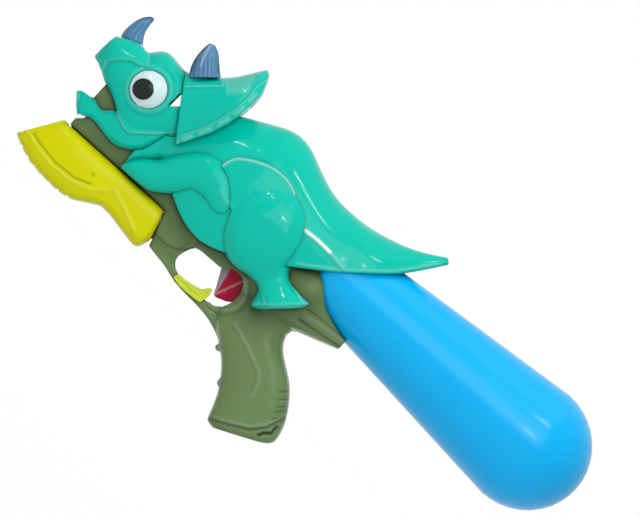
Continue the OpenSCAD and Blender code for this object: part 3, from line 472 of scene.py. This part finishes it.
def work_frill(piece):
    frill = Worked(piece)
    # Plates and lines here also paint shade at their feet and highlights on their raised edges
    collar = [(-60, 95), (-27.5, 95.4), (-27.5, 110), (-60, 110)]
    frill.plate(on_beast(collar), height=0.7, soft=0.5, painted_shade=0.5, painted_light=0.4)
    frill.cut(on_beast([(-54, 99.6), (-29, 99.8)]), width=0.6, depth=0.4, painted_shade=0.4)
    # The facet is sunk and lightened over its outline: a painted reflection
    facet = [(-26, 104), (-5.2, 106), (-10.2, 91.6), (-25, 90.4)]
    frill.plate(on_beast(facet), height=-0.7, soft=0.6, painted_shade=0.3, painted_light=0.1)
    frill.painted_reflection(on_beast(facet), amount=0.35)
    hem_top = [(-57.8, 62.6), (-50, 65.2), (-40, 68.8), (-30, 74.2), (-20, 80.6), (-12, 88), (-5.5, 96.5)]
    hem_foot = [(4, 103), (-1.5, 90), (-8, 82.5), (-17, 74.5), (-28, 67.5), (-39.5, 62), (-51, 58.5),
                (-61, 55)]
    frill.plate(on_beast(hem_top + hem_foot), height=0.7, soft=0.6, painted_shade=0.6, painted_light=0.35)
    # Each hem lump is raised and carries a painted highlight
    hem_lumps = [[(-55, 60), (-50, 61.8)], [(-44, 64.2), (-37, 66.8)], [(-31, 70), (-25, 73.4)],
                 [(-20, 77), (-15, 81)], [(-11, 85), (-7, 89.6)]]
    for lump in hem_lumps:
        frill.ridge(on_beast(lump), width=1.4, height=1.1, painted_light=0.5)
    frill.done()
    front_edge = [(-165, 171.5), (-157.5, 154.5)]
    dressed(piece, reach(front_edge, frill.x, frill.z) < 2.6, rounds=30)


def work_body(piece):
    body = Worked(piece)
    rump_fold = [(27, -1.5), (36, -8.6), (45, -17.5), (53, -27.5)]
    fold_highlight = [(28, -2.3), (36, -8.6), (44, -16.5)]
    tail_line = [(22, -24), (49, -28.4), (86.8, -29.2), (120, -24.2)]
    tail_rim = [(22, -26), (49, -30.4), (86.8, -31.2), (122, -26)]
    # Each raised line carries a painted highlight; the strong one along the fold is a painted glare
    body.ridge(on_beast(rump_fold), width=1.4, height=1.2, painted_light=0.8)
    body.ridge(on_beast(fold_highlight), width=1.1, height=0.2, painted_light=5.0)
    body.ridge(on_beast(HIP_ARC), width=0.8, height=0.7, painted_light=1.2)
    body.ridge(on_beast(tail_line), width=0.8, height=0.4, painted_light=0.5)
    body.done()
    by_the_seam = np.abs(body.co[:, 1]) < 1.6 * MM
    by_the_rim = reach(on_beast(tail_rim), body.x, body.z) < 2.4
    dressed(piece, by_the_seam | by_the_rim, rounds=10)


def work_leg(piece):
    leg = Worked(piece)
    # The toe cuts carry painted shade; the raised lines carry painted highlights
    for toe_x in (-3.2, 0.4):
        toe = [(toe_x, -53.5), (toe_x + 0.9, -50), (toe_x - 0.4, -46.6)]
        leg.cut(on_beast(toe), width=0.7, depth=0.6, painted_shade=0.6)
    shin = [(18.3, -25), (20.3, -41), (27, -52.3)]
    sole = [(-8.5, -51.4), (10, -52.3), (30, -51.2)]
    leg.ridge(on_beast(HIP_ARC), width=0.8, height=0.7, painted_light=1.2)
    leg.ridge(on_beast(shin), width=0.8, height=0.4, painted_light=0.5)
    leg.ridge(on_beast(sole), width=1.0, height=0.5, painted_light=0.3)
    leg.done()


def work_arm(piece):
    arm = Worked(piece)
    elbow = [(-29.5, 25), (-27, 18.5), (-20.5, 13.6)]
    # The elbow line carries a faint painted highlight
    arm.ridge(on_beast(elbow), width=2.0, height=0.8, painted_light=0.2)
    arm.done()


def work_brow_horn(piece):
    horn = Worked(piece)
    # The flutes carry painted shade, the spine a painted highlight
    for k in range(6):
        x = -49.2 + 3.4 * k
        flute = [(x, 101.5), (x + 0.9 - 0.3 * k, 108), (x + 2.6 - 0.8 * k, 114)]
        horn.cut(on_beast(flute), width=0.55, depth=0.5, painted_shade=0.7)
    spine = [(-43.5, 110), (-40.5, 118), (-36, 125.5)]
    rim = [(-50.4, 106), (-46.9, 114.7), (-41.2, 122), (-35, 126), (-31.6, 120.5), (-31, 106)]
    horn.ridge(on_beast(spine), width=1.0, height=0.4, painted_light=0.9)
    # A painted shade line darkens the horn's rim
    horn.painted_shade_line(on_beast(curved(rim)), width=1.2, painted_shade=1.7)
    horn.done()


def work_nose_horn(piece):
    horn = Worked(piece)
    rear_flute = [(-92, 124), (-89, 131.5), (-83, 138.5)]
    front_flute = [(-96.5, 127.5), (-93.5, 133.5), (-87, 139.3)]
    rim = [(-98.6, 130), (-95, 136), (-89.8, 140.7), (-82.5, 142.9), (-75.6, 143), (-75.6, 140.6)]
    # The flutes carry painted shade, and a painted shade line darkens the rim
    horn.cut(on_beast(rear_flute), width=0.6, depth=0.5, painted_shade=0.7)
    horn.cut(on_beast(front_flute), width=0.5, depth=0.4, painted_shade=0.6)
    horn.painted_shade_line(on_beast(curved(rim)), width=1.2, painted_shade=1.7)
    horn.done()


# Gun
GUARD_BEND = (-45.5, 76)


def work_grip(gun):
    """The lines of the grip, cut and raised on a gun half, with painted shade in the cuts and painted
    highlights on the ridges.
    """
    palm_groove = [(-24.6, 60.6), (-8, 54.6), (8.4, 47.3), (12.6, 41.5), (14.9, 33.5)]
    palm_ridge = [(-25.5, 62.8), (-8, 56.8), (9.4, 49.3), (14.4, 42.3), (16.9, 33.5)]
    front_ridge = [(-34.5, 55.5), (-24.5, 47), (-13, 36.5), (-4.5, 23.5), (2.5, 9)]
    foot_groove = [(4.7, 2.6), (17, 8.4), (30.3, 15.6), (38.5, 24.5), (43.5, 37.2)]
    foot_ridge = [(3.4, 4.2), (15.6, 10.1), (29.1, 17.2), (36.9, 25.7), (41.8, 37.6)]
    foot_slot = [(38.1, 17.4), (39.7, 20.7), (44, 24), (43.8, 29.4)]
    gun.cut(palm_groove, width=0.9, depth=0.4, painted_shade=0.35)
    gun.ridge(palm_ridge, width=1.2, height=0.4, painted_light=0.3)
    gun.ridge(front_ridge, width=1.1, height=0.5, painted_light=0.8)
    gun.cut(foot_groove, width=1.1, depth=1.1, painted_shade=1.4)
    gun.ridge(foot_ridge, width=0.8, height=0.4, painted_light=0.45)
    gun.cut(foot_slot, width=1.1, depth=2.2, painted_shade=2.4)
    for x, z in ((29.1, 48.6), (32.3, 44.2), (35, 40.2), (36.2, 36.7), (37.8, 31.8)):
        gun.cut([(x, z), (x + 6.4, z + 8)], width=0.7, depth=0.7, painted_shade=1.2)


def work_gun(piece):
    gun = Worked(piece)
    work_grip(gun)
    cradle_low = [(5.9, 94.2), (22, 96.3), (38.3, 98.3)]
    cradle_high = [(6, 103.4), (22, 104.6), (36.5, 105.8)]
    cradle_ridge = [(7.9, 99.3), (22.8, 101.4), (37.9, 103.5)]
    lobe_groove = [(-106.1, 71.6), (-94.7, 71), (-87.3, 73.7), (-81.8, 80.9), (-78.9, 88.5)]
    # The cuts carry painted shade and the ridges painted highlights
    gun.cut(cradle_low, width=0.9, depth=0.7, painted_shade=1.5)
    gun.cut(cradle_high, width=0.7, depth=0.5, painted_shade=1.1)
    gun.ridge(cradle_ridge, width=1.1, height=0.6, painted_light=0.3)
    gun.cut(lobe_groove, width=0.8, depth=0.8, painted_shade=0.8)
    gun.ridge(ring(GUARD_BEND, 14.5, (-95, 62)), width=1.4, height=1.0, painted_light=0.3)
    gun.cut(ring(GUARD_BEND, 17.4, (-90, 55)), width=1.1, depth=0.6, painted_shade=0.6)
    gun.done()


def work_pump(piece):
    pump = Worked(piece)
    groove = [(-213, 67.6), (-205.4, 65.3), (-189.2, 62.5), (-171.8, 63.5), (-160.8, 67.5)]
    crease = [(-219, 65.5), (-213.6, 64.6), (-205.6, 62.2), (-189.4, 59.3), (-171.4, 60.2), (-159, 64.3),
              (-145.7, 75.1)]
    heel_crease = [(-145.7, 75.1), (-132, 70.1), (-117.6, 63.8)]
    pinhole = [(-164.1, 73.8), (-163.5, 73.2)]
    # The cuts carry painted shade and the creases faint painted highlights
    pump.cut(groove, width=0.8, depth=0.8, painted_shade=0.9)
    pump.ridge(crease, width=1.1, height=0.6, painted_light=0.1)
    pump.ridge(heel_crease, width=1.3, height=0.9, painted_light=0.1)
    pump.cut(pinhole, width=0.8, depth=0.8, painted_shade=1.2)
    pump.done()


def work_trigger(piece):
    trigger = Worked(piece)
    middle, front = [(-48, 68.8), (-39.6, 88.4)], [(-52.3, 90.5), (-48.3, 68.4)]
    # The ridges carry painted highlights
    trigger.ridge(middle, width=0.8, height=0.15, painted_light=0.9)
    trigger.ridge(front, width=0.7, height=0.1, painted_light=0.5)
    trigger.cut([(-45.5, 84.5), (-44.2, 76)], width=1.8, depth=0.6, painted_shade=0.0)
    trigger.done()
    # The trigger's front strip takes the grey finish: painted shade on its front face
    (top_x, top_z), (tip_x, tip_z) = front
    ahead = Vector((tip_z - top_z, 0, top_x - tip_x)).normalized()
    paint_shade_ahead(piece, Vector((tip_x, 0, tip_z)) * MM, ahead, "grey_plastic")


def work_clip(piece):
    clip = Worked(piece)
    # The cut carries painted shade and the ridge a painted highlight
    clip.cut([(-75.5, 60), (-62, 59.6), (-56.5, 60.4)], width=0.7, depth=0.5, painted_shade=0.5)
    clip.ridge([(-60, 61.6), (-55.5, 63.6), (-52.6, 68.4)], width=0.7, height=0.5, painted_light=0.4)
    clip.done()


# Each moulded piece: voxel in mm, rounds of softening, least angle of a sharp edge, work on its skin
PAIRS = {
    "gun_shell": (0.9, 2, 24, work_gun),
    "dino_body": (0.7, 5, 32, work_body),
    "dino_head": (0.52, 4, 32, work_head),
    "dino_frill": (0.54, 5, 32, work_frill),
    "dino_arm": (0.42, 6, 32, work_arm),
    "dino_leg": (0.45, 5, 30, work_leg),
    "pump_grip": (0.58, 2, 24, work_pump),
    "brow_horn": (0.3, 1, 24, work_brow_horn),
}
SINGLES = {
    "nose_horn": (0.3, 1, 24, work_nose_horn),
    "trigger": (0.45, 2, 24, work_trigger),
    "guard_clip": (0.35, 2, 24, work_clip),
}
SIDES = ("left", "right")
MOULDED = {f"{stem}_{side}": how for stem, how in PAIRS.items() for side in SIDES} | SINGLES
made = {}
for node, (voxel, rounds, sharp, work) in MOULDED.items():
    made[node] = moulded(node, voxel, rounds, sharp)
    work(made[node])
for node in ("tank", "eye_left", "eye_right", "pupil_left", "pupil_right", "nozzle"):
    made[node] = turned(node)
made["pickup_tube"] = turned("pickup_tube", angle=50.0)
made["valve_spring"] = turned("valve_spring", angle=80.0)
made["pump_cylinder"] = turned("pump_cylinder")
# The cylinder is painted dark where it enters the gun's sleeve: painted shade in the gap behind the pump
# grip
SHADED_BAND_X = -109.0
paint_shade_ahead(made["pump_cylinder"], Vector((SHADED_BAND_X * MM, 0, 0)), Vector((1, 0, 0)), "dark_plastic")
for node, piece in made.items():
    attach(piece, nodes[node]["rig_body"])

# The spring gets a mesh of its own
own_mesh(made["valve_spring"])
for node, cad in nodes.items():
    if node not in made:
        cad.data.materials.clear()
        cad.data.materials.append(FINISH[NODE_SLOT[node]])


# Shade where pieces meet
def even_out(mesh, values, rounds=3):
    """Values on a skin, evened out between neighbouring places."""
    ends = np.empty(len(mesh.edges) * 2, np.int32)
    mesh.edges.foreach_get("vertices", ends)
    a, b = ends[0::2], ends[1::2]
    count = np.maximum(np.bincount(ends, minlength=len(values)), 1)
    for _ in range(rounds):
        total = np.bincount(a, values[b], len(values)) + np.bincount(b, values[a], len(values))
        values = 0.5 * values + 0.5 * total / count
    return values


def regroove(piece, change):
    """A piece's groove values, changed."""
    layer = piece.data.attributes["groove"]
    groove = np.empty(len(layer.data), np.float32)
    layer.data.foreach_get("value", groove)
    layer.data.foreach_set("value", change(groove).astype(np.float32))


def shade_seams(pieces, cell=1.0 * MM, lift=1.3, full=7.0, painted_shade=0.75):
    """Painted shade where one fixed piece meets another: a soft dark line along each seam."""
    middle, span = 1000, 4000

    def keys(places):
        k = np.floor(places / cell).astype(np.int64) + middle
        return (k[:, 0] * span + k[:, 1]) * span + k[:, 2]

    skins = {name: skin_places(piece) for name, piece in pieces.items()}
    taken = {name: np.unique(keys(place)) for name, (place, _) in skins.items()}
    steps = [np.array((a, b, c)) for a in (-1, 0, 1) for b in (-1, 0, 1) for c in (-1, 0, 1)]
    for name, piece in pieces.items():
        if "groove" not in piece.data.attributes:
            continue
        others = np.unique(np.concatenate([cells for other, cells in taken.items() if other != name]))
        place, away = skins[name]
        lifted = place + away * cell * lift
        near = sum(np.isin(keys(lifted + step * cell), others) for step in steps) / full
        near = even_out(piece.data, np.minimum(near, 1))
        regroove(piece, lambda groove: np.maximum(groove, near * painted_shade))


def shade_under(piece, above, width=14 * MM, lift=0.4, every=6, painted_shade=1.3):
    """The broad shade that the beast casts on the gun it straddles."""
    spots = np.concatenate([skin_places(other)[0][::every] for other in above])
    tree = KDTree(len(spots))
    for k, spot in enumerate(spots):
        tree.insert(spot, k)
    tree.balance()
    place, away = skin_places(piece)
    far = np.array([tree.find(spot)[2] for spot in place + away * width * lift])
    regroove(piece, lambda groove: groove + painted_shade * np.exp(-((far / width) ** 2)))


shade_seams({node: piece for node, piece in made.items() if nodes[node]["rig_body"] == "gun"})
BEAST = [piece for node, piece in made.items() if node.startswith("dino_")]
for side in SIDES:
    shade_under(made["gun_shell_" + side], BEAST)

# Stage, light and camera
scene.view_settings.view_transform = "Standard"
FLOOR_SIZE = 3.0
FLOOR_GAP = 0.3 * MM
# How much of the floor's own shading, with the object's shadow, its white glow covers
GLOW_SHARE = 0.93


def backdrop_share(tree):
    """1 where the eye, or a reflection or glass, meets the backdrop directly."""
    path = add_node(tree, "ShaderNodeLightPath", (-900, 300)).outputs
    seen = maths(tree, "MAXIMUM", (-700, 300), path["Is Camera Ray"], path["Is Glossy Ray"])
    return maths(tree, "MAXIMUM", (-500, 300), seen, path["Is Transmission Ray"])


def blend_of(tree, share, plain, glowing, out_kind):
    """Two shaders blended by a share, on the tree's output."""
    blend = add_node(tree, "ShaderNodeMixShader", (50, 0))
    out = add_node(tree, out_kind, (250, 0))
    for source, socket in zip((share, plain.outputs[0], glowing.outputs[0]), blend.inputs):
        tree.links.new(source, socket)
    tree.links.new(blend.outputs[0], out.inputs["Surface"])


def studio_world():
    """White where it is seen, a soft fill light elsewhere."""
    world = bpy.data.worlds.new("studio")
    world.use_nodes = True
    sky = world.node_tree
    sky.nodes.clear()
    seen = add_node(sky, "ShaderNodeBackground", (-200, 100), Color=(1, 1, 1, 1), Strength=1.0)
    soft = add_node(sky, "ShaderNodeBackground", (-200, -100), Color=(0.95, 0.98, 1, 1), Strength=0.33)
    blend_of(sky, backdrop_share(sky), soft, seen, "ShaderNodeOutputWorld")
    return world


def white_paper():
    """Floor paper that looks white and keeps the object's shadow."""
    paper = bpy.data.materials.new("white_paper")
    paper.use_nodes = True
    sheet = paper.node_tree
    sheet.nodes.clear()
    matt = add_node(sheet, "ShaderNodeBsdfDiffuse", (-200, 100), Color=(0.82, 0.82, 0.82, 1))
    glow = add_node(sheet, "ShaderNodeEmission", (-200, -100), Color=(1, 1, 1, 1), Strength=1.05)
    share = maths(sheet, "MULTIPLY", (-300, 300), backdrop_share(sheet), GLOW_SHARE)
    blend_of(sheet, share, matt, glow, "ShaderNodeOutputMaterial")
    return paper


def paper_floor():
    ground = bmesh.new()
    bmesh.ops.create_grid(ground, x_segments=1, y_segments=1, size=FLOOR_SIZE)
    mesh = bpy.data.meshes.new("floor")
    ground.to_mesh(mesh)
    ground.free()
    mesh.materials.append(white_paper())
    floor = bpy.data.objects.new("floor", mesh)
    floor.location.z = cad_box[0][2] - FLOOR_GAP
    scene.collection.objects.link(floor)


def softbox(name, at, towards, size, power, mirrored=True):
    """A soft lamp; one that isn't mirrored gives light but no bright patch on glossy skins."""
    lamp = bpy.data.lights.new(name, "AREA")
    lamp.shape = "RECTANGLE"
    lamp.size, lamp.size_y = size
    lamp.energy = power
    box = bpy.data.objects.new(name, lamp)
    box.location = at
    box.rotation_euler = (Vector(towards) - Vector(at)).to_track_quat("-Z", "Y").to_euler()
    box.visible_glossy = mirrored
    scene.collection.objects.link(box)


scene.world = studio_world()
paper_floor()
softbox("front_softbox", (0.1, -1.6, 0.85), (0, 0, 0.12), size=(1.15, 1.0), power=10.2)
softbox("overhead_softbox", (0.0, -0.25, 1.5), (-0.02, 0, 0.12), size=(1.0, 0.7), power=9.6, mirrored=False)
GLINT_AT = (-0.05, 0, 0.13)
softbox("tube_lamp_behind", (0.2, -0.85, 1.2), GLINT_AT, size=(0.3, 0.02), power=2.4)
softbox("tube_lamp_ahead", (-0.75, -0.8, 1.0), GLINT_AT, size=(0.3, 0.02), power=2.4)
softbox("tube_lamp_low", (0.1, -1.35, 0.6), GLINT_AT, size=(0.24, 0.02), power=1.6)

# The camera looks at the left side from far off, rolled so that the beast stands upright
LOOK_AT = Vector((-0.0116, 0.0, 0.1346))
SEEN_WIDTH = 0.4352
DISTANCE = 6.0
SENSOR_WIDTH = 36.0
ROLL_RIGHT = Vector((math.cos(LEAN), 0.0, math.sin(LEAN)))
ROLL_UP = Vector((-math.sin(LEAN), 0.0, math.cos(LEAN)))
lens = bpy.data.cameras.new("camera")
lens.sensor_width = SENSOR_WIDTH
lens.lens = SENSOR_WIDTH * DISTANCE / SEEN_WIDTH
camera = bpy.data.objects.new("camera", lens)
turn = Matrix((ROLL_RIGHT, ROLL_UP, ROLL_RIGHT.cross(ROLL_UP))).transposed().to_4x4()
camera.matrix_world = Matrix.Translation(LOOK_AT + Vector((0, -DISTANCE, 0))) @ turn
scene.collection.objects.link(camera)
scene.camera = camera

bpy.context.view_layer.update()
